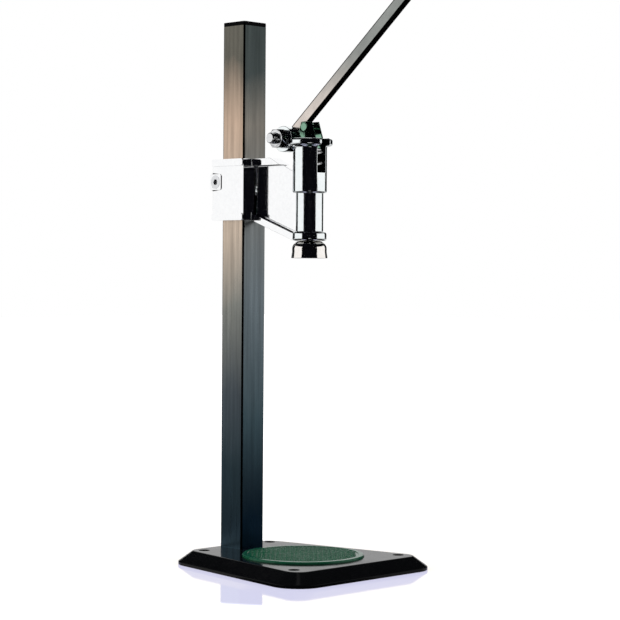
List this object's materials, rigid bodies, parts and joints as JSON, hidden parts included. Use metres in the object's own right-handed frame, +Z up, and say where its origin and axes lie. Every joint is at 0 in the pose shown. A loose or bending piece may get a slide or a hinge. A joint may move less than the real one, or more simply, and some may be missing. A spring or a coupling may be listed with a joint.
{
  "type": "bench crown capper",
  "caption": "Bench capper for crown caps: moulded base with bottle mat, square column, sliding cast head carrier, and a lever that drives a spring-returned crimping bell.",
  "frame": {"origin": "on the bench plane under the bell's axis, at a crossing of the base's ribs", "axes": "+Z up along the bell's axis, -Y towards the operator, +Y from the bell to the column, +X to the operator's right"},
  "size_m": [0.1902, 0.4142, 0.6774],
  "materials": {
    "base_plastic": "glossy black moulded plastic",
    "mat_green": "dark green mat with a woven field",
    "column_steel": "dark satin steel with drawn streaks",
    "cap_plastic": "black moulded plastic",
    "zinc_steel": "zinc plated",
    "carrier_alloy": "polished casting",
    "barrel_chrome": "chromed",
    "bush_bronze": "turned bronze",
    "head_green": "green metallic lacquer",
    "rod_steel": "ground steel",
    "bell_steel": "nickel plated hardened steel",
    "magnet_steel": "dull nickel",
    "spring_steel": "bright wire",
    "lever_steel": "dark satin steel",
    "grip_rubber": "black moulded grip"
  },
  "bodies": {
    "stand": {"base_shell": "base_plastic", "bottle_mat": "mat_green", "column_tube": "column_steel", "column_cap": "cap_plastic", "column_foot": "zinc_steel", "foot_bolt": "zinc_steel", "foot_washer": "zinc_steel"},
    "carrier": {"head_carrier": "carrier_alloy", "clamp_bolt": "zinc_steel", "clamp_nut": "zinc_steel", "clamp_washers": "zinc_steel", "clamp_sleeve": "zinc_steel", "barrel": "barrel_chrome", "guide_bush": "bush_bronze", "fulcrum_bolt": "zinc_steel", "fulcrum_nut": "zinc_steel", "fulcrum_washers": "zinc_steel", "return_spring": "spring_steel"},
    "plunger": {"press_head": "head_green", "head_pin": "head_green", "plunger_rod": "rod_steel", "bell": "bell_steel", "bell_screw": "zinc_steel", "cap_magnet": "magnet_steel"},
    "lever": {"lever_bar": "lever_steel", "lever_bush": "bush_bronze", "lever_grip": "grip_rubber"}
  },
  "joints": [
    {"name": "carrier_slide", "type": "slide", "parent": "stand", "child": "carrier", "axis": [0, 0, 1], "range_m": [-0.15, 0.12]},
    {"name": "lever_pull", "type": "hinge", "parent": "carrier", "child": "lever", "pos_m": [0, 0.0215, 0.4066], "axis": [1, 0, 0], "range_deg": [0, 70]},
    {"name": "plunger_stroke", "type": "slide", "parent": "carrier", "child": "plunger", "axis": [0, 0, -1], "range_m": [0, 0.0296], "stiffness_N_per_m": 2500, "springref_m": -0.024, "deforming": ["return_spring"]}
  ],
  "couplings": [
    {"joint": "plunger_stroke", "follows": "lever_pull", "m_per_rad": 0.02415}
  ]
}
